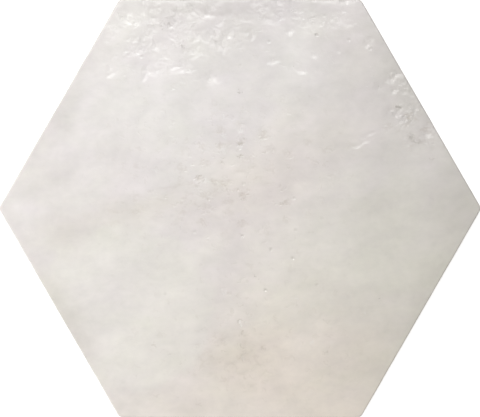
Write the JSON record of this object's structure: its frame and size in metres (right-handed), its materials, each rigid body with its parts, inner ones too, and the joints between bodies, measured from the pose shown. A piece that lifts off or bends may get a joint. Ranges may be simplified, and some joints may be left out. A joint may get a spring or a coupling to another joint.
{
  "type": "hexagonal porcelain tile",
  "caption": "Flat hexagonal glazed porcelain tile with a gently swelling hand-pressed face, rolled glazed edges and a honeycomb-keyed back for bedding in adhesive.",
  "frame": {"origin": "centre of the back, on the bedding plane", "axes": "+Z out of the glazed face, X through two opposite corners, Y across two opposite sides"},
  "size_m": [0.249, 0.2164, 0.0095],
  "materials": {
    "glazed_porcelain": "gloss off-white glaze with soft warm and grey clouding over a pale stoneware body; sides below the roll and back are bare matt body"
  },
  "bodies": {
    "root": {"porcelain_tile": "glazed_porcelain"}
  },
  "joints": []
}
